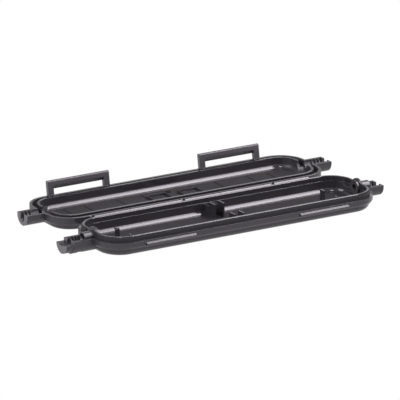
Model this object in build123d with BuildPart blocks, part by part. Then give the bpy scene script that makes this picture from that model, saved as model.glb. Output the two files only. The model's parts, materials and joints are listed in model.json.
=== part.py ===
from build123d import *
import os

# In-line fibre termination box, lying open: the base in front, the cover behind it on a knuckle hinge.
# Origin: centre of the base's flat underside. X runs along the box, Y from base to cover, Z up.

# Both shells, in plan
BODY_LENGTH = 320.0
BODY_WIDTH = 81.6
CORNER_RADIUS = 28.0
PARTING_HEIGHT = 14.5
CLOSED_GAP = 0.3
SHELL_GAP = 15.2
DRAFT_ANGLE = 2.0

# Flange that carries the seal, and the narrower body below it
BASE_FLANGE_HEIGHT = 7.2
COVER_FLANGE_HEIGHT = 8.6
BASE_BODY_INSET = 3.4
COVER_BODY_INSET = 4.6
FLANGE_CHAMFER_DROP = 2.2
FLANGE_CHAMFER_INSET = 1.3
BOTTOM_RADIUS = 6.0
FLOOR_RADIUS = 5.5
BASE_FLOOR = 3.0
COVER_FLOOR = 3.6

# Tongue on the base, measured inwards from the outline
TONGUE_OUTER_INSET = 4.2
TONGUE_THICKNESS = 2.4
TONGUE_HEIGHT = 5.3
TONGUE_EDGE = 0.4
CAVITY_STEP = 0.6

# Two rims on the cover, with the groove that takes the tongue between them
OUTER_RIM = 2.8
GROOVE_WIDTH = 5.0
INNER_RIM = 2.6
INNER_RIM_RISE = 0.7
GROOVE_DEPTH = 6.2

# Sealing strips that stand against the tongue's outer face, in a shallow channel
SEAL_THICKNESS = 1.1
SEAL_DEPTH = 1.2
SEAL_TOP_DROP = 1.1

# Cable ports, half a trough on each shell
PORT_WIDTH = 20.6
PORT_DEPTH = 12.0
LEFT_PORT_DEPTH = 14.2
BASE_PORT_REACH_LEFT = 22.0
BASE_PORT_REACH_RIGHT = 20.0
COVER_PORT_REACH = 19.5
TROUGH_RADIUS = 7.6
TOOTH_RADIUS = 5.6
TOOTH_PITCH = 4.0
TOOTH_THICKNESS = 1.3
TOOTH_COUNT = 3
PORT_END_WALL = 1.8
SLOT_WIDTH = 7.0
SLOT_DEPTH = 8.0

# Tie saddle beyond the base's left port, and the notch for the tie below the port
SADDLE_LENGTH = 8.6
SADDLE_DROP = 3.1
SADDLE_DEPTH = 12.8
SADDLE_SCOOP_RADIUS = 12.0
SADDLE_SCOOP_DEPTH = 2.0
TIE_NOTCH_PLACE = 5.9
TIE_NOTCH_WIDTH = 6.4
TIE_NOTCH_DEPTH = 2.0

# Cable grommets in the base's tongue wall
GROMMET_BORE = 6.6
GROMMET_MOUTH = 8.6
GROMMET_MOUTH_DEPTH = 2.4
GROMMET_TUBE = 10.4
GROMMET_FLANGE = 15.0
GROMMET_FLANGE_THICKNESS = 2.6
GROMMET_TAIL = 11.3
GROMMET_SEAT = 0.1
ARCH_RADIUS = 9.0
ARCH_CLEARANCE = 0.4

# Hinge
KNUCKLE_RADIUS = 3.2
PIN_RADIUS = 1.5
PIN_PRESS = 0.02
PIN_RUNNING = 0.06
SHORT_KNUCKLE = 41.0
LONG_KNUCKLE = 60.0
KNUCKLE_SPACE = 4.0
KNUCKLE_GAP = 0.4
KNUCKLE_PAIRS = 2
HINGE_ARM_DROP = 0.2

# Latch bails
BAIL_PLACE = 89.3
BAIL_LENGTH = 71.6
BAIL_LEG = 6.5
BAIL_THICKNESS = 4.0
BAIL_BAR_LOW = 6.5
BAIL_BAR_HEIGHT = 7.3
BAIL_LEAN = 9.0
BAIL_CLEARANCE = 0.6
BAIL_GRIP_RADIUS = 1.8
BAIL_CATCH_RADIUS = 1.9
PIVOT_DROP = 4.0
PIVOT_RADIUS = 1.3
PIVOT_RUNNING = 0.06
LUG_WIDTH = 4.0
LUG_GAP = 0.4

# Ledges on the base that the bails catch
LEDGE_SIDE_GAP = 0.8
LEDGE_DROP = 2.1
LEDGE_RAMP = 1.2
LEDGE_DEPTH = 2.0
LEDGE_FOOT = 0.8
CATCH_GAP = 0.7

# Splice holder supports in the base
WEB_THICKNESS = 1.6
CENTRE_WEB_PLACE = 5.15
CENTRE_OPENING = 14.0
CENTRE_TAB_END = 24.5
WEB_SHOULDER_DROP = 1.0
TAB_RISE = 3.4
END_WEB_LEFT = -127.0
END_WEB_RIGHT = 113.0
END_POST_WIDTH = 6.5
END_WEB_THICKNESS = 1.8
END_BARB = 1.3
END_BARB_HEIGHT = 2.6
END_NUB_PLACE = -25.0
END_NUB_WIDTH = 2.6
WEB_ROOT = 0.8

# Ribs and frames on the cover's floor
RIB_PLACES = (29.0, 58.0, 96.0, 120.0)
RIB_HALF_LENGTH = 21.0
RIB_WIDTH = 1.0
RIB_HEIGHT = 0.6
FRAME_HALF_WIDTH = 11.0
FRAME_END = 7.5
FRAME_HEIGHT = 2.4
BOSS_RADIUS = 2.6
BOSS_PLACE = 17.0
BOSS_HEIGHT = 2.0

# Worked-out values
half_length = BODY_LENGTH / 2
half_width = BODY_WIDTH / 2
base_port_left = half_length + BASE_PORT_REACH_LEFT
base_port_right = half_length + BASE_PORT_REACH_RIGHT
cover_port = half_length + COVER_PORT_REACH
pitch = BODY_WIDTH + SHELL_GAP
hinge_y = pitch / 2
hinge_z = PARTING_HEIGHT + CLOSED_GAP / 2
tongue_inner_inset = TONGUE_OUTER_INSET + TONGUE_THICKNESS
tongue_outer_x = half_length - TONGUE_OUTER_INSET
tongue_inner_x = half_length - tongue_inner_inset
groove_inner_inset = OUTER_RIM + GROOVE_WIDTH
cover_inner_inset = groove_inner_inset + INNER_RIM
base_floor_depth = PARTING_HEIGHT - BASE_FLOOR
port_flat = PORT_DEPTH - PORT_WIDTH / 2
left_port_flat = LEFT_PORT_DEPTH - PORT_WIDTH / 2
seal_outer_inset = TONGUE_OUTER_INSET - SEAL_THICKNESS
pivot_y = pitch + half_width + BAIL_CLEARANCE + BAIL_THICKNESS / 2
pivot_z = PARTING_HEIGHT - PIVOT_DROP
bail_opening = BAIL_LENGTH - 2 * BAIL_LEG
ledge_length = bail_opening - 2 * LEDGE_SIDE_GAP
hinge_length = (
    KNUCKLE_PAIRS * (SHORT_KNUCKLE + KNUCKLE_GAP + LONG_KNUCKLE + KNUCKLE_SPACE) + SHORT_KNUCKLE
)
hinge_start = -hinge_length / 2

os.makedirs("parts", exist_ok=True)


def level(centre_y, z):
    """The horizontal plane of a shell at height z."""
    return Plane(origin=(0, centre_y, z))


def layer(centre_y, z, inset, height, taper=0.0, mode=Mode.ADD):
    """A plate of the shell's rounded outline, moved inwards by an inset."""
    with BuildSketch(level(centre_y, z)) as profile:
        RectangleRounded(
            BODY_LENGTH - 2 * inset, BODY_WIDTH - 2 * inset, CORNER_RADIUS - inset
        )
    extrude(profile.sketch, amount=height, taper=taper, mode=mode)


def rim(centre_y, z, outer_inset, inner_inset, height, mode=Mode.ADD):
    """A wall that follows the outline between two insets."""
    with BuildSketch(level(centre_y, z)) as profile:
        RectangleRounded(
            BODY_LENGTH - 2 * outer_inset, BODY_WIDTH - 2 * outer_inset, CORNER_RADIUS - outer_inset
        )
        RectangleRounded(
            BODY_LENGTH - 2 * inner_inset,
            BODY_WIDTH - 2 * inner_inset,
            CORNER_RADIUS - inner_inset,
            mode=Mode.SUBTRACT,
        )
    extrude(profile.sketch, amount=height, mode=mode)


def block(x_span, y_span, z_span, mode=Mode.ADD):
    """A rectangular bar given by its spans."""
    with BuildSketch(Plane.XY.offset(z_span[0])) as profile:
        with Locations(((x_span[0] + x_span[1]) / 2, (y_span[0] + y_span[1]) / 2)):
            Rectangle(x_span[1] - x_span[0], y_span[1] - y_span[0])
    extrude(profile.sketch, amount=z_span[1] - z_span[0], mode=mode)


def trough(x_span, centre_y, radius, flat=0.0, above=0.0, mode=Mode.ADD):
    """A U-shaped bar along X, its round end down, with its sides up to a height above the parting plane."""
    with BuildSketch(Plane.YZ.offset(min(x_span))) as profile:
        with Locations((centre_y, PARTING_HEIGHT - flat)):
            Circle(radius)
        with Locations((centre_y, PARTING_HEIGHT - flat + radius)):
            Rectangle(2 * radius, 2 * radius)
        with Locations((centre_y, PARTING_HEIGHT + above + 2 * radius)):
            Rectangle(4 * radius, 4 * radius, mode=Mode.SUBTRACT)
    extrude(profile.sketch, amount=abs(x_span[1] - x_span[0]), mode=mode)


def rod(x_span, y, z, radius, mode=Mode.ADD):
    """A round bar along X."""
    with BuildSketch(Plane.YZ.offset(min(x_span))) as profile:
        with Locations((y, z)):
            Circle(radius)
    extrude(profile.sketch, amount=abs(x_span[1] - x_span[0]), mode=mode)


def cut_port(side, end, centre_y):
    """Cuts the trough, its teeth and the slotted end wall out of one port."""
    end_face = end - PORT_END_WALL
    teeth_start = end_face - TOOTH_COUNT * TOOTH_PITCH
    clear = TROUGH_RADIUS
    trough((side * tongue_outer_x, side * teeth_start), centre_y, TROUGH_RADIUS, 0, clear, Mode.SUBTRACT)
    trough((side * teeth_start, side * end_face), centre_y, TOOTH_RADIUS, 0, clear, Mode.SUBTRACT)
    for index in range(TOOTH_COUNT):
        gap_start = teeth_start + TOOTH_THICKNESS + index * TOOTH_PITCH
        gap_end = teeth_start + (index + 1) * TOOTH_PITCH
        trough((side * gap_start, side * gap_end), centre_y, TROUGH_RADIUS, 0, clear, Mode.SUBTRACT)
    slot_flat = SLOT_DEPTH - SLOT_WIDTH / 2
    slot_x = (side * (end_face - 1), side * (end + 1))
    trough(slot_x, centre_y, SLOT_WIDTH / 2, slot_flat, clear, Mode.SUBTRACT)


def hinge_arm(x_from, length, wall_y):
    """One knuckle and the arm that joins it to its shell's wall."""
    x_to = x_from + length
    rod((x_from, x_to), hinge_y, hinge_z, KNUCKLE_RADIUS)
    arm_low = hinge_z - KNUCKLE_RADIUS
    y_span = (min(wall_y, hinge_y), max(wall_y, hinge_y))
    block((x_from, x_to), y_span, (arm_low, PARTING_HEIGHT - HINGE_ARM_DROP))


def knuckle_starts():
    """Where each short knuckle and each long one begins along X."""
    period = SHORT_KNUCKLE + KNUCKLE_GAP + LONG_KNUCKLE + KNUCKLE_SPACE
    short = [hinge_start + index * period for index in range(KNUCKLE_PAIRS + 1)]
    long = [start + SHORT_KNUCKLE + KNUCKLE_GAP for start in short[:KNUCKLE_PAIRS]]
    return short, long


def chamfer_flange(shell, z):
    """Bevels the lower outer edge of a shell's flange, whose underside is at height z."""
    under = shell.faces().filter_by(Plane.XY).filter_by_position(Axis.Z, z - 0.01, z + 0.01)[0]
    chamfer(under.outer_wire().edges(), FLANGE_CHAMFER_INSET, FLANGE_CHAMFER_DROP, reference=under)


def bail_section(x):
    """The plane across a leaning bail: its origin on the pivot, its Y axis up the legs."""
    upright = Plane(origin=(x, pivot_y, pivot_z), x_dir=(0, 1, 0), z_dir=(1, 0, 0))
    return upright.rotated((-BAIL_LEAN, 0, 0))


short_starts, long_starts = knuckle_starts()

# Sealing strips, one along the front of the tongue and one along its back, stopping at the ports
seal_height = TONGUE_HEIGHT - SEAL_TOP_DROP
seal_reach = half_length + CORNER_RADIUS
seal_stop = PORT_WIDTH / 2
seals = []
for name, side in (("rim_seal_front", -1), ("rim_seal_back", 1)):
    with BuildPart() as rim_seal:
        rim(0, PARTING_HEIGHT - SEAL_DEPTH, seal_outer_inset, TONGUE_OUTER_INSET, SEAL_DEPTH + seal_height)
        if side < 0:
            cut_y = (-seal_stop, half_width)
        else:
            cut_y = (-half_width, seal_stop)
        block((-seal_reach, seal_reach), cut_y, (0, 2 * PARTING_HEIGHT), Mode.SUBTRACT)
    rim_seal.part.label = name
    export_step(rim_seal.part, f"parts/{name}.step")
    seals.append(rim_seal.part)

# Hollow of the base, with a round where the wall meets the floor
with BuildPart() as base_hollow:
    layer(0, PARTING_HEIGHT, tongue_inner_inset + CAVITY_STEP, -base_floor_depth, DRAFT_ANGLE)
    fillet(base_hollow.faces().sort_by(Axis.Z)[0].edges(), FLOOR_RADIUS)

# Base shell
with BuildPart() as base_shell:
    body_top = PARTING_HEIGHT - BASE_FLANGE_HEIGHT
    layer(0, body_top, BASE_BODY_INSET, -body_top, DRAFT_ANGLE)
    fillet(base_shell.faces().sort_by(Axis.Z)[0].edges(), BOTTOM_RADIUS)
    layer(0, PARTING_HEIGHT, 0, -BASE_FLANGE_HEIGHT)
    chamfer_flange(base_shell, body_top)
    rim(0, PARTING_HEIGHT, TONGUE_OUTER_INSET, tongue_inner_inset, TONGUE_HEIGHT)
    tongue_top = base_shell.faces().sort_by(Axis.Z)[-1]
    chamfer(tongue_top.edges(), TONGUE_EDGE)

    # Outsides of the two ports, of the arches over the grommets and of the tie saddle
    trough((-base_port_left, -tongue_inner_x), 0, PORT_WIDTH / 2, left_port_flat)
    trough((tongue_inner_x, base_port_right), 0, PORT_WIDTH / 2, port_flat)
    for side in (-1, 1):
        rod((side * tongue_inner_x, side * tongue_outer_x), 0, PARTING_HEIGHT, ARCH_RADIUS)
    saddle_end = -base_port_left - SADDLE_LENGTH
    saddle_flat = SADDLE_DEPTH - PORT_WIDTH / 2
    trough((saddle_end, -base_port_left), 0, PORT_WIDTH / 2, saddle_flat, -SADDLE_DROP)
    scoop_z = PARTING_HEIGHT - SADDLE_DROP - SADDLE_SCOOP_DEPTH + SADDLE_SCOOP_RADIUS
    rod((saddle_end, -base_port_left), 0, scoop_z, SADDLE_SCOOP_RADIUS, Mode.SUBTRACT)
    notch_start = -base_port_left + TIE_NOTCH_PLACE
    notch_high = PARTING_HEIGHT - LEFT_PORT_DEPTH + TIE_NOTCH_DEPTH
    block(
        (notch_start, notch_start + TIE_NOTCH_WIDTH),
        (-PORT_WIDTH / 2, PORT_WIDTH / 2),
        (notch_high - 2 * TIE_NOTCH_DEPTH, notch_high),
        Mode.SUBTRACT,
    )

    # Inside
    add(base_hollow.part, mode=Mode.SUBTRACT)
    add(seals, mode=Mode.SUBTRACT)

    # Seats of the grommets, then the troughs
    for side, end in ((-1, base_port_left), (1, base_port_right)):
        tube_seat = GROMMET_TUBE / 2 + GROMMET_SEAT
        flange_seat = GROMMET_FLANGE / 2 + GROMMET_SEAT
        flange_start = tongue_inner_x - 2 * GROMMET_FLANGE_THICKNESS
        rod((side * flange_start, side * tongue_outer_x), 0, PARTING_HEIGHT, tube_seat, Mode.SUBTRACT)
        rod((side * flange_start, side * tongue_inner_x), 0, PARTING_HEIGHT, flange_seat, Mode.SUBTRACT)
        cut_port(side, end, 0)

    # Supports for the splice holder: two pairs of webs at the middle, a barbed post and a stub at each end
    wall_y = half_width - tongue_inner_inset - CAVITY_STEP / 2
    web_low = BASE_FLOOR - WEB_ROOT
    tab_top = PARTING_HEIGHT + TAB_RISE
    for x in (-CENTRE_WEB_PLACE, CENTRE_WEB_PLACE):
        for side in (-1, 1):
            with BuildSketch(Plane.YZ.offset(x - WEB_THICKNESS / 2)) as centre_web:
                with BuildLine():
                    Polyline(
                        (side * CENTRE_OPENING, web_low),
                        (side * CENTRE_OPENING, tab_top),
                        (side * CENTRE_TAB_END, tab_top),
                        (side * CENTRE_TAB_END, PARTING_HEIGHT - WEB_SHOULDER_DROP),
                        (side * wall_y, PARTING_HEIGHT - WEB_SHOULDER_DROP),
                        (side * wall_y, web_low),
                        close=True,
                    )
                make_face()
            extrude(centre_web.sketch, amount=WEB_THICKNESS)
    for x, side in ((END_WEB_LEFT, -1), (END_WEB_RIGHT, 1)):
        with BuildSketch(Plane.XZ.offset(-END_POST_WIDTH / 2)) as post:
            with BuildLine():
                Polyline(
                    (x - side * END_WEB_THICKNESS / 2, web_low),
                    (x - side * END_WEB_THICKNESS / 2, tab_top),
                    (x + side * END_WEB_THICKNESS / 2, tab_top),
                    (x + side * (END_WEB_THICKNESS / 2 + END_BARB), tab_top - END_BARB_HEIGHT / 2),
                    (x + side * END_WEB_THICKNESS / 2, tab_top - END_BARB_HEIGHT),
                    (x + side * END_WEB_THICKNESS / 2, web_low),
                    close=True,
                )
            make_face()
        extrude(post.sketch, amount=END_POST_WIDTH)
        x_span = (x - END_WEB_THICKNESS / 2, x + END_WEB_THICKNESS / 2)
        y_span = (END_NUB_PLACE - END_NUB_WIDTH / 2, END_NUB_PLACE + END_NUB_WIDTH / 2)
        block(x_span, y_span, (web_low, tab_top))

    # Ledges for the latch bails: a ramp on top to ride over, and an undercut nose to catch
    ledge_top = PARTING_HEIGHT - LEDGE_DROP
    ledge_low = PARTING_HEIGHT - BAIL_BAR_LOW + CLOSED_GAP + CATCH_GAP
    for centre in (-BAIL_PLACE, BAIL_PLACE):
        with BuildSketch(Plane.YZ.offset(centre - ledge_length / 2)) as ledge:
            with BuildLine():
                Polyline(
                    (-half_width + WEB_ROOT, ledge_top),
                    (-half_width, ledge_top),
                    (-half_width - LEDGE_DEPTH, ledge_top - LEDGE_RAMP),
                    (-half_width - LEDGE_FOOT, ledge_low),
                    (-half_width + WEB_ROOT, ledge_low),
                    close=True,
                )
            make_face()
        extrude(ledge.sketch, amount=ledge_length)

    # Long knuckles
    for start in long_starts:
        hinge_arm(start, LONG_KNUCKLE, half_width)
        rod((start, start + LONG_KNUCKLE), hinge_y, hinge_z, PIN_RADIUS + PIN_PRESS, Mode.SUBTRACT)
base_shell.part.label = "base_shell"
export_step(base_shell.part, "parts/base_shell.step")

# Hollow of the cover
with BuildPart() as cover_hollow:
    cover_mouth = PARTING_HEIGHT + INNER_RIM_RISE
    layer(pitch, cover_mouth, cover_inner_inset, COVER_FLOOR - cover_mouth, DRAFT_ANGLE)
    fillet(cover_hollow.faces().sort_by(Axis.Z)[0].edges(), FLOOR_RADIUS)

# Cover shell
with BuildPart() as cover_shell:
    cover_body_height = PARTING_HEIGHT - COVER_FLANGE_HEIGHT
    layer(pitch, cover_body_height, COVER_BODY_INSET, -cover_body_height, DRAFT_ANGLE)
    fillet(cover_shell.faces().sort_by(Axis.Z)[0].edges(), cover_body_height * 0.9)
    layer(pitch, PARTING_HEIGHT, 0, -COVER_FLANGE_HEIGHT)
    chamfer_flange(cover_shell, cover_body_height)
    for side in (-1, 1):
        port_root = half_length - groove_inner_inset
        trough((side * port_root, side * cover_port), pitch, PORT_WIDTH / 2, port_flat)
    rim(pitch, PARTING_HEIGHT, OUTER_RIM, groove_inner_inset, -GROOVE_DEPTH, Mode.SUBTRACT)
    rim(pitch, PARTING_HEIGHT, groove_inner_inset, cover_inner_inset, INNER_RIM_RISE)
    add(cover_hollow.part, mode=Mode.SUBTRACT)
    inner_x = half_length - cover_inner_inset - INNER_RIM
    rim_x = tongue_outer_x + ARCH_CLEARANCE
    for side in (-1, 1):
        arch_seat = ARCH_RADIUS + ARCH_CLEARANCE
        trough((side * inner_x, side * rim_x), pitch, arch_seat, 0, TROUGH_RADIUS, Mode.SUBTRACT)
        cut_port(side, cover_port, pitch)

    # Floor ribs, and the two frames between the middle ribs
    rib_span = (COVER_FLOOR - WEB_ROOT, COVER_FLOOR + RIB_HEIGHT)
    reach_y = (pitch - RIB_HALF_LENGTH, pitch + RIB_HALF_LENGTH)
    for place in RIB_PLACES:
        for side in (-1, 1):
            rib_x = (side * place - RIB_WIDTH / 2, side * place + RIB_WIDTH / 2)
            block(rib_x, reach_y, rib_span)
    frame_span = (COVER_FLOOR - WEB_ROOT, COVER_FLOOR + FRAME_HEIGHT)
    frame_y = (pitch - FRAME_HALF_WIDTH, pitch + FRAME_HALF_WIDTH)
    for side in (-1, 1):
        ends_x = sorted((side * FRAME_END, side * RIB_PLACES[0]))
        for x in ends_x:
            block((x - RIB_WIDTH / 2, x + RIB_WIDTH / 2), frame_y, frame_span)
        for y in frame_y:
            block(ends_x, (y - RIB_WIDTH / 2, y + RIB_WIDTH / 2), frame_span)
    with BuildSketch(level(pitch, COVER_FLOOR - WEB_ROOT)) as bosses:
        with Locations((0, BOSS_PLACE), (0, -BOSS_PLACE)):
            Circle(BOSS_RADIUS)
    extrude(bosses.sketch, amount=BOSS_HEIGHT + WEB_ROOT)

    # Lugs that hold the latch bails
    lug_root = pitch + half_width
    lug_half = BAIL_THICKNESS / 2 + PIVOT_RADIUS / 2
    for centre in (-BAIL_PLACE, BAIL_PLACE):
        for side in (-1, 1):
            lug_outer = centre + side * (bail_opening / 2 - LUG_GAP)
            lug_inner = lug_outer - side * LUG_WIDTH
            lug_x = (min(lug_inner, lug_outer), max(lug_inner, lug_outer))
            rod(lug_x, pivot_y, pivot_z, lug_half)
            block(lug_x, (lug_root, pivot_y), (pivot_z - lug_half, pivot_z + lug_half))
            rod(lug_x, pivot_y, pivot_z, PIVOT_RADIUS + PIVOT_RUNNING, Mode.SUBTRACT)

    # Short knuckles
    for start in short_starts:
        hinge_arm(start, SHORT_KNUCKLE, pitch - half_width)
        rod((start, start + SHORT_KNUCKLE), hinge_y, hinge_z, PIN_RADIUS + PIN_RUNNING, Mode.SUBTRACT)
cover_shell.part.label = "cover_shell"
export_step(cover_shell.part, "parts/cover_shell.step")

# Hinge pin
with BuildPart() as hinge_pin:
    rod((hinge_start, -hinge_start), hinge_y, hinge_z, PIN_RADIUS)
hinge_pin.part.label = "hinge_pin"
export_step(hinge_pin.part, "parts/hinge_pin.step")

# Cable grommets: a tube through the tongue's arch, with a flange inside and a flared mouth outside
for name, side in (("port_grommet_left", -1), ("port_grommet_right", 1)):
    with BuildPart() as port_grommet:
        inner_end = tongue_inner_x - GROMMET_FLANGE_THICKNESS
        tail_end = tongue_outer_x + GROMMET_TAIL
        with BuildSketch(Plane.XZ.offset(0)) as half_section:
            with BuildLine():
                Polyline(
                    (side * inner_end, PARTING_HEIGHT + GROMMET_BORE / 2),
                    (side * inner_end, PARTING_HEIGHT + GROMMET_FLANGE / 2),
                    (side * tongue_inner_x, PARTING_HEIGHT + GROMMET_FLANGE / 2),
                    (side * tongue_inner_x, PARTING_HEIGHT + GROMMET_TUBE / 2),
                    (side * tail_end, PARTING_HEIGHT + GROMMET_TUBE / 2),
                    (side * tail_end, PARTING_HEIGHT + GROMMET_MOUTH / 2),
                    (side * (tail_end - GROMMET_MOUTH_DEPTH), PARTING_HEIGHT + GROMMET_BORE / 2),
                    close=True,
                )
            make_face()
        revolve(axis=Axis((0, 0, PARTING_HEIGHT), (1, 0, 0)))
    port_grommet.part.label = name
    export_step(port_grommet.part, f"parts/{name}.step")

# Latch bails, with the stub pins that turn in the cover's lugs; at rest they lean outwards a little
bar_low = PIVOT_DROP + BAIL_BAR_LOW
bar_middle = bar_low + BAIL_BAR_HEIGHT / 2
for name, centre in (("latch_bail_left", -BAIL_PLACE), ("latch_bail_right", BAIL_PLACE)):
    with BuildPart() as latch_bail:
        with BuildSketch(bail_section(centre - BAIL_LENGTH / 2)) as bar:
            with Locations((0, bar_middle)):
                Rectangle(BAIL_THICKNESS, BAIL_BAR_HEIGHT)
            catch_corner = bar.vertices().group_by(Axis.Y)[0].sort_by(Axis.X)[0]
            fillet(catch_corner, BAIL_CATCH_RADIUS)
            fillet(bar.vertices().group_by(Axis.Y)[-1], BAIL_GRIP_RADIUS)
        extrude(bar.sketch, amount=BAIL_LENGTH)
        for side in (-1, 1):
            outer = centre + side * BAIL_LENGTH / 2
            inner = centre + side * bail_opening / 2
            with BuildSketch(bail_section(min(inner, outer))) as leg:
                Circle(BAIL_THICKNESS / 2)
                with Locations((0, bar_middle / 2)):
                    Rectangle(BAIL_THICKNESS, bar_middle)
            extrude(leg.sketch, amount=BAIL_LEG)
            pin_end = inner - side * (LUG_GAP + LUG_WIDTH)
            with BuildSketch(bail_section(min(inner, pin_end))) as stub:
                Circle(PIVOT_RADIUS)
            extrude(stub.sketch, amount=LUG_GAP + LUG_WIDTH)
    latch_bail.part.label = name
    export_step(latch_bail.part, f"parts/{name}.step")
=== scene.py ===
import json
import math

import bpy
from mathutils import Matrix, Vector


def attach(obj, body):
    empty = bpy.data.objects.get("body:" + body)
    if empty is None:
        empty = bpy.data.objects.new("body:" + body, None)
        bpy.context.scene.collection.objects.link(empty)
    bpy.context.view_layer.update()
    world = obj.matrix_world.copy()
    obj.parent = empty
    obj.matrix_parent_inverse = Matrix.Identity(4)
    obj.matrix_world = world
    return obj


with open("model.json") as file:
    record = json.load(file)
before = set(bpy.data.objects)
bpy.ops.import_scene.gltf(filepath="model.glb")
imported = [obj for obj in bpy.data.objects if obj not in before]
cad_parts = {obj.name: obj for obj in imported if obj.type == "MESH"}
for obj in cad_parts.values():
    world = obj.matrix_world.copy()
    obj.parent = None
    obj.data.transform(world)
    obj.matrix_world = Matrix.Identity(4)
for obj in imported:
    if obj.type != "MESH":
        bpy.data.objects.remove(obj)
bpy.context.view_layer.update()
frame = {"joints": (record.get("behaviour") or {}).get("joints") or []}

# Camera, fitted to the photograph
VIEW_AZIMUTH = math.radians(-31.41)
VIEW_ELEVATION = math.radians(17.40)
VIEW_DISTANCE = 5.658
VIEW_TARGET = Vector((-0.0017, 0.0501, 0.0145))
TARGET_PIXEL = (199.28, 198.15)
FOCAL_PIXELS = 5634.6
PHOTO_PIXELS = 400
SENSOR_MM = 36
CLIP_END = 50

# Flow lines of the plastic: noise, the span of it that shows as dust, and how much dust
FLOW_SCALE = 28
FLOW_DETAIL = 4
FLOW_SPAN = (0.35, 0.75)
FLOW_DUST = 0.25

# Rubbed edges, lightened partly as wear and partly as painted highlight: their radius, the cosines of
# the turn from unworn to fully worn, and how far they lighten
EDGE_RADIUS = 0.00025
EDGE_SAMPLES = 4
EDGE_SPAN = (0.99, 0.86)
EDGE_WEAR_AND_HIGHLIGHT = 0.6

# Spark-eroded grain
GRAIN_DETAIL = 2
GRAIN_HEIGHT = 0.000004

# Finishes of the mouldings
SHELL_FINISH = {
    "Base": (0.031, 0.0275, 0.033, 1),
    "Dust and highlight": (0.048, 0.043, 0.051, 1),
    "Roughness low": 0.11,
    "Roughness high": 0.17,
}
BAIL_FINISH = {
    "Base": (0.064, 0.058, 0.067, 1),
    "Dust and highlight": (0.084, 0.078, 0.087, 1),
    "Roughness low": 0.24,
    "Roughness high": 0.36,
}
GROMMET_FINISH = {
    "Base": (0.060, 0.056, 0.062, 1),
    "Dust and highlight": (0.09, 0.085, 0.092, 1),
    "Roughness low": 0.18,
    "Roughness high": 0.28,
}
SEAL_FINISH = {
    "Base": (0.022, 0.021, 0.023, 1),
    "Dust and highlight": (0.04, 0.038, 0.041, 1),
    "Roughness low": 0.55,
    "Roughness high": 0.70,
}
PLASTIC_SPECULAR = 0.5
SEAL_SPECULAR = 0.3
SPECULAR_TINT = (0.98, 0.92, 1.0, 1)

# Etched floors of both trays, dull and painted darker as painted shade: below a height, and level by the
# upward share of their normal
FLOOR_TOP = 0.0062
FLOOR_LEVEL_SPAN = (0.975, 0.998)
FLOOR_PAINTED_SHADE_COLOR = (0.021, 0.0185, 0.022, 1)
FLOOR_ROUGHNESS = 0.62

# Dull ports, which start a little inside the body's ends, and their end faces, painted lighter as
# painted light
BODY_END = 0.16
PORT_STARTS = {"base": BODY_END - 0.0065, "cover": BODY_END - 0.017}
PORT_ROUGHNESS = 0.42
PORT_END_PAINTED_LIGHT_COLOR = (0.11, 0.103, 0.114, 1)
END_FACING = 0.9

# Hinge pin, with lines drawn along it
WIRE_STRETCH = (40, 6000, 6000)
WIRE_DETAIL = 2
WIRE_COLORS = ((0.05, 0.05, 0.052, 1), (0.11, 0.11, 0.113, 1))
WIRE_ROUGHNESS = (0.28, 0.42)

# Skirt under a bail's finger bar, from the pivot of a bail that stands upright
SKIRT_HALF_LENGTH = 0.0293
SKIRT_DEPTHS = (0.0004, 0.0020)
SKIRT_HEIGHTS = (0.0086, 0.0107)
SKIRT_ROUNDING = 0.0003

# Studio floor
PAPER_REACH = 20.0
PAPER_DROP = 0.0002
PAPER_COLOR = (0.8, 0.8, 0.8, 1)
PAPER_ROUGHNESS = 0.9

# World: a span of height and the strengths at its ends, for the light and for mirrored rays
LIGHTING_BY_HEIGHT = (0.25, 0.75, 0.10, 0.35)
MIRRORED_BY_HEIGHT = (0.42, 0.56, 1.0, 0.3)

# Softbox bank: each panel's first and last angle round the X axis, in degrees, and its radiance
BANK_PANELS = ((-6.5, 18.5, 13.4), (18.5, 45.5, 13.4), (45.5, 67.0, 8.4))
BANK_RADIUS = 2.6
BANK_REACH = (1.27, 1.95)

# Cards of light: name, direction, size and radiance
CARDS = (
    ("left_card", (-0.80, 0.08, 0.55), 1.5, 7.0),
    ("glint_card", (-0.24, -0.38, 0.90), 0.7, 15.0),
)
CARD_DISTANCE = 3.0


# Helpers

def add_object(name, data):
    """A new object in the scene."""
    item = bpy.data.objects.new(name, data)
    bpy.context.scene.collection.objects.link(item)
    return item


def new_material(name):
    """A material, its node tree and its shader."""
    material = bpy.data.materials.new(name)
    material.use_nodes = True
    return material, material.node_tree, material.node_tree.nodes["Principled BSDF"]


def feed(tree, source, socket):
    """Links a socket to an input, or sets the input to a plain value."""
    if isinstance(source, bpy.types.NodeSocket):
        tree.links.new(source, socket)
    else:
        socket.default_value = source


def calculate(tree, operation, *values):
    """The result of a math node."""
    node = tree.nodes.new("ShaderNodeMath")
    node.operation = operation
    for value, socket in zip(values, node.inputs):
        feed(tree, value, socket)
    return node.outputs[0]


def remap(tree, value, low, high, at_low=0.0, at_high=1.0):
    """A value taken in a straight line from one span to another, and held at its ends."""
    node = tree.nodes.new("ShaderNodeMapRange")
    feed(tree, value, node.inputs["Value"])
    feed(tree, low, node.inputs["From Min"])
    feed(tree, high, node.inputs["From Max"])
    feed(tree, at_low, node.inputs["To Min"])
    feed(tree, at_high, node.inputs["To Max"])
    return node.outputs["Result"]


def blend(tree, kind, share, first, second):
    """Two colours (kind RGBA) or two numbers (kind FLOAT), mixed by a share of the second."""
    node = tree.nodes.new("ShaderNodeMix")
    node.data_type = kind
    feed(tree, share, node.inputs["Factor"])
    feed(tree, first, node.inputs["A"])
    feed(tree, second, node.inputs["B"])
    return node.outputs["Result"]


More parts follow.
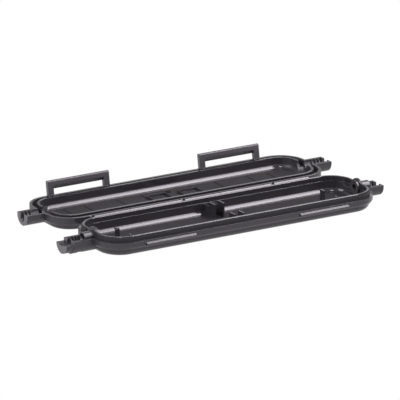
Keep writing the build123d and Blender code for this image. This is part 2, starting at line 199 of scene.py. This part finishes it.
def noise(tree, place, scale, detail):
    """Noise at a place, as one value."""
    node = tree.nodes.new("ShaderNodeTexNoise")
    feed(tree, place, node.inputs["Vector"])
    feed(tree, scale, node.inputs["Scale"])
    feed(tree, detail, node.inputs["Detail"])
    return node.outputs["Fac"]


def part_of(tree, vector, axis):
    """The X, Y or Z of a vector."""
    node = tree.nodes.new("ShaderNodeSeparateXYZ")
    feed(tree, vector, node.inputs[0])
    return node.outputs[axis]


def new_group(name, inputs, outputs):
    """An empty shader node group with named sockets."""
    group = bpy.data.node_groups.new(name, "ShaderNodeTree")
    for socket, kind, default in inputs:
        item = group.interface.new_socket(socket, in_out="INPUT", socket_type=kind)
        item.default_value = default
    for socket, kind in outputs:
        group.interface.new_socket(socket, in_out="OUTPUT", socket_type=kind)
    return group, group.nodes.new("NodeGroupInput").outputs, group.nodes.new("NodeGroupOutput").inputs


def place_group(tree, group, values):
    """A group's outputs in a material, which gives it values of its own."""
    node = tree.nodes.new("ShaderNodeGroup")
    node.node_tree = group
    for socket, value in values.items():
        node.inputs[socket].default_value = value
    return node.outputs


# Shared effects

def moulded_surface_group():
    """Fine spark-eroded grain, faint flow lines, and edges lightened as rubbed wear and as painted
    highlight, of moulded black plastic.
    """
    group, given, out = new_group(
        "moulded_surface",
        [
            ("Grain size", "NodeSocketFloat", 2200.0),
            ("Grain depth", "NodeSocketFloat", 0.2),
            ("Base", "NodeSocketColor", (0.03, 0.03, 0.031, 1)),
            ("Dust and highlight", "NodeSocketColor", (0.06, 0.06, 0.06, 1)),
            ("Roughness low", "NodeSocketFloat", 0.2),
            ("Roughness high", "NodeSocketFloat", 0.3),
        ],
        [("Color", "NodeSocketColor"), ("Roughness", "NodeSocketFloat"), ("Normal", "NodeSocketVector")],
    )
    nodes, link = group.nodes, group.links.new
    place = nodes.new("ShaderNodeTexCoord").outputs["Object"]
    flow = noise(group, place, FLOW_SCALE, FLOW_DETAIL)
    roughness = remap(group, flow, 0.0, 1.0, given["Roughness low"], given["Roughness high"])
    link(roughness, out["Roughness"])

    edge = nodes.new("ShaderNodeBevel")
    edge.samples = EDGE_SAMPLES
    edge.inputs["Radius"].default_value = EDGE_RADIUS
    turned = nodes.new("ShaderNodeVectorMath")
    turned.operation = "DOT_PRODUCT"
    link(edge.outputs["Normal"], turned.inputs[0])
    link(nodes.new("ShaderNodeNewGeometry").outputs["Normal"], turned.inputs[1])
    # Edges turn toward the lighter colour, partly as rubbed wear and partly as painted highlight.
    rubbed_and_highlit = remap(group, turned.outputs["Value"], *EDGE_SPAN, 0.0, EDGE_WEAR_AND_HIGHLIGHT)
    settled = calculate(group, "MULTIPLY", remap(group, flow, *FLOW_SPAN), FLOW_DUST)
    dust_and_highlight = calculate(group, "MAXIMUM", settled, rubbed_and_highlit)
    link(blend(group, "RGBA", dust_and_highlight, given["Base"], given["Dust and highlight"]), out["Color"])

    bump = nodes.new("ShaderNodeBump")
    bump.inputs["Distance"].default_value = GRAIN_HEIGHT
    link(given["Grain depth"], bump.inputs["Strength"])
    link(noise(group, place, given["Grain size"], GRAIN_DETAIL), bump.inputs["Height"])
    link(edge.outputs["Normal"], bump.inputs["Normal"])
    link(bump.outputs["Normal"], out["Normal"])
    return group


def etched_and_painted_shade_floor_group():
    """A mask that is 1 on the level surfaces below a height, where the mould is etched dull and the
    colour is painted darker as painted shade.
    """
    group, given, out = new_group(
        "etched_and_painted_shade_floor", [("Top", "NodeSocketFloat", FLOOR_TOP)], [("Mask", "NodeSocketFloat")]
    )
    coords = group.nodes.new("ShaderNodeTexCoord").outputs
    low = calculate(group, "LESS_THAN", part_of(group, coords["Object"], "Z"), given["Top"])
    level = remap(group, part_of(group, coords["Normal"], "Z"), *FLOOR_LEVEL_SPAN)
    group.links.new(calculate(group, "MULTIPLY", low, level), out["Mask"])
    return group


def port_zone_group():
    """Masks of the dull cable ports and of their end faces, which are painted lighter as painted light.
    """
    group, given, out = new_group(
        "port_zone",
        [("Port start", "NodeSocketFloat", BODY_END), ("End start", "NodeSocketFloat", BODY_END)],
        [("Port", "NodeSocketFloat"), ("End face", "NodeSocketFloat")],
    )
    coords = group.nodes.new("ShaderNodeTexCoord").outputs
    along = calculate(group, "ABSOLUTE", part_of(group, coords["Object"], "X"))
    facing = calculate(group, "ABSOLUTE", part_of(group, coords["Normal"], "X"))
    group.links.new(calculate(group, "GREATER_THAN", along, given["Port start"]), out["Port"])
    outside = calculate(group, "GREATER_THAN", along, given["End start"])
    endways = calculate(group, "GREATER_THAN", facing, END_FACING)
    group.links.new(calculate(group, "MULTIPLY", outside, endways), out["End face"])
    return group


# Materials

def moulded_material(name, surface, finish, specular=PLASTIC_SPECULAR):
    """Moulded plastic or rubber with one of the finishes."""
    material, tree, shader = new_material(name)
    shader.inputs["Specular IOR Level"].default_value = specular
    shader.inputs["Specular Tint"].default_value = SPECULAR_TINT
    moulded = place_group(tree, surface, finish)
    tree.links.new(moulded["Color"], shader.inputs["Base Color"])
    tree.links.new(moulded["Roughness"], shader.inputs["Roughness"])
    tree.links.new(moulded["Normal"], shader.inputs["Normal"])
    return material


def lay_over(tree, kind, socket, mask, value):
    """Where the mask is 1, a value takes the place of what feeds a shader's socket."""
    under = socket.links[0].from_socket
    tree.links.new(blend(tree, kind, mask, under, value), socket)


def shell_material(shell, surface, floors, ports):
    """A shell's polished plastic, with its etched floors painted darker as painted shade, and its dull
    ports with ends painted lighter as painted light.
    """
    material = moulded_material(f"black_moulded_{shell}", surface, SHELL_FINISH)
    tree = material.node_tree
    shader = tree.nodes["Principled BSDF"]
    color, roughness = shader.inputs["Base Color"], shader.inputs["Roughness"]
    floor = place_group(tree, floors, {})
    zone = place_group(tree, ports, {"Port start": PORT_STARTS[shell]})
    # Painted shade: the tray floors are painted darker, and made rougher as a dull etch.
    lay_over(tree, "RGBA", color, floor["Mask"], FLOOR_PAINTED_SHADE_COLOR)
    # Painted light: the end faces of the ports are painted lighter than the plastic.
    lay_over(tree, "RGBA", color, zone["End face"], PORT_END_PAINTED_LIGHT_COLOR)
    lay_over(tree, "FLOAT", roughness, floor["Mask"], FLOOR_ROUGHNESS)
    lay_over(tree, "FLOAT", roughness, zone["Port"], PORT_ROUGHNESS)
    return material


def drawn_wire_material():
    """Blackened steel wire with fine lines drawn along it."""
    material, tree, shader = new_material("hinge_pin_wire")
    shader.inputs["Metallic"].default_value = 1.0
    stretch = tree.nodes.new("ShaderNodeMapping")
    stretch.inputs["Scale"].default_value = WIRE_STRETCH
    feed(tree, tree.nodes.new("ShaderNodeTexCoord").outputs["Object"], stretch.inputs["Vector"])
    lines = noise(tree, stretch.outputs["Vector"], 1.0, WIRE_DETAIL)
    tree.links.new(blend(tree, "RGBA", lines, *WIRE_COLORS), shader.inputs["Base Color"])
    tree.links.new(remap(tree, lines, 0.0, 1.0, *WIRE_ROUGHNESS), shader.inputs["Roughness"])
    return material


def give(node, material):
    """Gives a CAD node its finish."""
    mesh = bpy.data.objects[node].data
    mesh.materials.clear()
    mesh.materials.append(material)


# Shapes that the CAD nodes lack

def add_bail_skirt(side, joint, material):
    """The set-back lower edge of a bail's finger bar, between its legs."""
    mesh = bpy.data.meshes.new(f"bail_skirt_{side}")
    corners = [
        (x, y, z)
        for x in (-SKIRT_HALF_LENGTH, SKIRT_HALF_LENGTH)
        for y in SKIRT_DEPTHS
        for z in SKIRT_HEIGHTS
    ]
    faces = [(0, 1, 3, 2), (4, 6, 7, 5), (0, 4, 5, 1), (2, 3, 7, 6), (0, 2, 6, 4), (1, 5, 7, 3)]
    mesh.from_pydata(corners, [], faces)

    # A latched bail stands upright, so it leans at rest by the joint's upper limit
    lean = math.radians(joint["range_deg"][1])
    mesh.transform(Matrix.Translation(joint["pos_m"]) @ Matrix.Rotation(-lean, 4, "X"))
    mesh.materials.append(material)
    skirt = add_object(mesh.name, mesh)
    rounding = skirt.modifiers.new("rounding", "BEVEL")
    rounding.width = SKIRT_ROUNDING
    rounding.segments = 2
    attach(skirt, f"latch_{side}")


# Studio

def add_floor():
    """A plain white sheet that fades into the background and keeps the shadow."""
    mesh = bpy.data.meshes.new("studio_floor")
    corners = [(x * PAPER_REACH, y * PAPER_REACH, 0) for x, y in ((-1, -1), (1, -1), (1, 1), (-1, 1))]
    mesh.from_pydata(corners, [], [(0, 1, 2, 3)])
    floor = add_object("studio_floor", mesh)
    floor.location.z = -PAPER_DROP
    material, tree, paper = new_material("studio_floor_paper")
    paper.inputs["Base Color"].default_value = PAPER_COLOR
    paper.inputs["Roughness"].default_value = PAPER_ROUGHNESS
    paper.inputs["Specular IOR Level"].default_value = 0.0
    white = tree.nodes.new("ShaderNodeEmission")
    white.inputs["Strength"].default_value = 1.0
    path = tree.nodes.new("ShaderNodeLightPath").outputs
    seen = calculate(tree, "MAXIMUM", path["Is Camera Ray"], path["Is Transmission Ray"])
    mix = tree.nodes.new("ShaderNodeMixShader")
    tree.links.new(calculate(tree, "MAXIMUM", seen, path["Is Glossy Ray"]), mix.inputs[0])
    tree.links.new(paper.outputs[0], mix.inputs[1])
    tree.links.new(white.outputs[0], mix.inputs[2])
    tree.links.new(mix.outputs[0], tree.nodes["Material Output"].inputs["Surface"])
    mesh.materials.append(material)


def add_world():
    """White for the eye, dim overhead for mirrored rays, and a dim studio for the light."""
    world = bpy.data.worlds.new("studio_world")
    bpy.context.scene.world = world
    world.use_nodes = True
    tree = world.node_tree
    background = tree.nodes["Background"]
    background.inputs["Color"].default_value = (1, 1, 1, 1)
    height = part_of(tree, tree.nodes.new("ShaderNodeTexCoord").outputs["Generated"], "Z")
    path = tree.nodes.new("ShaderNodeLightPath").outputs
    lighting = remap(tree, height, *LIGHTING_BY_HEIGHT)
    mirrored = remap(tree, height, *MIRRORED_BY_HEIGHT)
    unseen = blend(tree, "FLOAT", path["Is Glossy Ray"], lighting, mirrored)
    seen = calculate(tree, "MAXIMUM", path["Is Camera Ray"], path["Is Transmission Ray"])
    tree.links.new(blend(tree, "FLOAT", seen, unseen, 1.0), background.inputs["Strength"])


def add_light(name, width, height, radiance):
    """A rectangle of light that the camera doesn't see."""
    data = bpy.data.lights.new(name, "AREA")
    data.shape = "RECTANGLE"
    data.size, data.size_y = width, height
    data.energy = radiance * math.pi * width * height
    light = add_object(name, data)
    light.visible_camera = False
    return light


def add_softbox_bank():
    """Softbox panels side by side round the X axis, off to the right, as one curved window."""
    width = BANK_REACH[1] - BANK_REACH[0]
    middle = (BANK_REACH[0] + BANK_REACH[1]) / 2
    for index, (start, end, radiance) in enumerate(BANK_PANELS):
        turn = math.radians((start + end) / 2)
        height = 2 * BANK_RADIUS * math.tan(math.radians(end - start) / 2)
        panel = add_light(f"softbox_{index + 1}", width, height, radiance)
        panel.location = (middle, -BANK_RADIUS * math.sin(turn), BANK_RADIUS * math.cos(turn))
        panel.rotation_euler = (turn, 0, 0)


def add_cards():
    """Square cards of light that face the box."""
    for name, direction, size, radiance in CARDS:
        card = add_light(name, size, size, radiance)
        card.location = Vector(direction).normalized() * CARD_DISTANCE
        card.rotation_mode = "QUATERNION"
        card.rotation_quaternion = Vector(direction).to_track_quat("Z", "Y")


def add_camera():
    """The photograph's view: a long lens from the front left, a little above."""
    back = Vector((
        math.sin(VIEW_AZIMUTH) * math.cos(VIEW_ELEVATION),
        -math.cos(VIEW_AZIMUTH) * math.cos(VIEW_ELEVATION),
        math.sin(VIEW_ELEVATION),
    ))
    right = Vector((math.cos(VIEW_AZIMUTH), math.sin(VIEW_AZIMUTH), 0))
    up = back.cross(right)
    metres_per_pixel = VIEW_DISTANCE / FOCAL_PIXELS
    aside = (PHOTO_PIXELS / 2 - TARGET_PIXEL[0]) * metres_per_pixel
    above = (TARGET_PIXEL[1] - PHOTO_PIXELS / 2) * metres_per_pixel
    data = bpy.data.cameras.new("photo_camera")
    data.sensor_width = SENSOR_MM
    data.lens = FOCAL_PIXELS * SENSOR_MM / PHOTO_PIXELS
    data.clip_end = CLIP_END
    camera = add_object("photo_camera", data)
    camera.location = VIEW_TARGET + right * aside + up * above + back * VIEW_DISTANCE
    camera.rotation_mode = "QUATERNION"
    camera.rotation_quaternion = (-back).to_track_quat("-Z", "Y")
    bpy.context.scene.camera = camera


# The box

surface, floors, ports = moulded_surface_group(), etched_and_painted_shade_floor_group(), port_zone_group()
bail_plastic = moulded_material("black_bail_plastic", surface, BAIL_FINISH)
grommet_rubber = moulded_material("black_grommet_rubber", surface, GROMMET_FINISH)
seal_rubber = moulded_material("black_seal_rubber", surface, SEAL_FINISH, SEAL_SPECULAR)
joints = {joint["child"]: joint for joint in frame["joints"]}

for shell in ("base", "cover"):
    give(f"{shell}_shell", shell_material(shell, surface, floors, ports))
for side in ("left", "right"):
    give(f"latch_bail_{side}", bail_plastic)
    add_bail_skirt(side, joints[f"latch_{side}"], bail_plastic)
    give(f"port_grommet_{side}", grommet_rubber)
for side in ("front", "back"):
    give(f"rim_seal_{side}", seal_rubber)
give("hinge_pin", drawn_wire_material())

add_floor()
add_world()
add_softbox_bank()
add_cards()
add_camera()

bpy.context.scene.view_settings.view_transform = "Standard"
